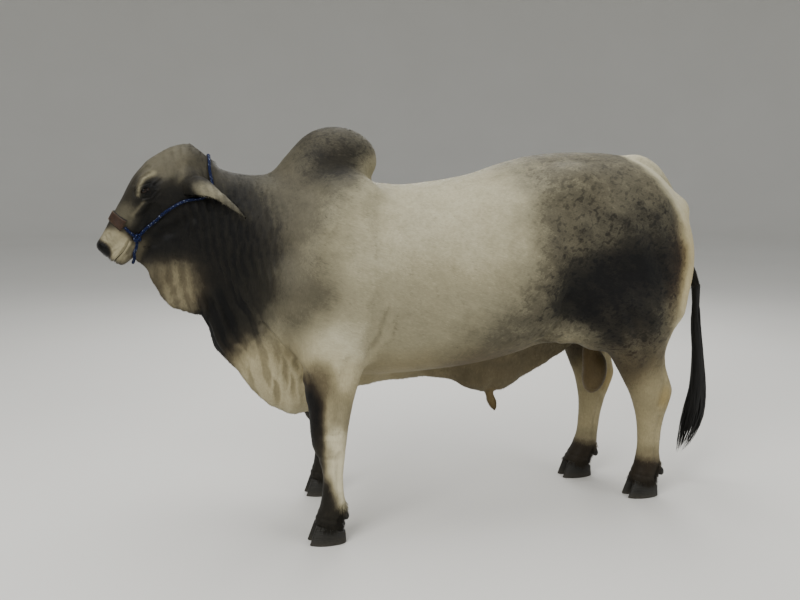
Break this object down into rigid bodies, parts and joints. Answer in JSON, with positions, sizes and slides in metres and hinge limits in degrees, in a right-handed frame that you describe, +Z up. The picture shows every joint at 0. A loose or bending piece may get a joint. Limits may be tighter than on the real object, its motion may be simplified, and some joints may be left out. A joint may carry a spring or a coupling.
{
  "type": "brahman bull",
  "caption": "Life-size standing grey humped bull with drooping ears, deep dewlap and long tail, in a rope halter with a leather noseband, as a still display model.",
  "frame": {"origin": "centre of the bottom of the box round the bull, on the floor", "axes": "-X towards the head, -Y the bull's left side, +Z up"},
  "size_m": [2.7024, 0.7594, 1.6383],
  "materials": {
    "grey_hide": "short light grey coat",
    "charcoal_hide": "short charcoal coat",
    "cream_hide": "short cream coat on loose skin",
    "pale_ear": "short pale grey coat",
    "brown_skin": "bare brown skin",
    "black_horn": "satin black horn",
    "eye": "wet dark eye",
    "brown_leather": "worn brown leather",
    "blue_rope": "braided blue rope with paler flecks",
    "black_hair": "long black hair"
  },
  "bodies": {
    "root": {"head": "charcoal_hide", "neck": "charcoal_hide", "dewlap": "cream_hide", "hump": "charcoal_hide", "chest": "grey_hide", "barrel": "grey_hide", "hindquarters": "grey_hide", "sheath": "cream_hide", "scrotum": "brown_skin", "foreleg_left_upper": "grey_hide", "foreleg_left_lower": "grey_hide", "claw_fore_left_outer": "black_horn", "dewclaw_fore_left_outer": "black_horn", "claw_fore_left_inner": "black_horn", "dewclaw_fore_left_inner": "black_horn", "foreleg_right_upper": "grey_hide", "foreleg_right_lower": "grey_hide", "claw_fore_right_outer": "black_horn", "dewclaw_fore_right_outer": "black_horn", "claw_fore_right_inner": "black_horn", "dewclaw_fore_right_inner": "black_horn", "hindleg_left_upper": "grey_hide", "hindleg_left_lower": "grey_hide", "claw_hind_left_outer": "black_horn", "dewclaw_hind_left_outer": "black_horn", "claw_hind_left_inner": "black_horn", "dewclaw_hind_left_inner": "black_horn", "hindleg_right_upper": "grey_hide", "hindleg_right_lower": "grey_hide", "claw_hind_right_outer": "black_horn", "dewclaw_hind_right_outer": "black_horn", "claw_hind_right_inner": "black_horn", "dewclaw_hind_right_inner": "black_horn", "ear_left": "pale_ear", "eye_left": "eye", "halter_knot_left": "blue_rope", "halter_rope_nose_left": "blue_rope", "ear_right": "pale_ear", "eye_right": "eye", "halter_knot_right": "blue_rope", "halter_rope_nose_right": "blue_rope", "tail": "grey_hide", "tail_switch": "black_hair", "halter_noseband": "brown_leather", "halter_headstall": "blue_rope", "halter_rope_chin": "blue_rope"}
  },
  "joints": []
}
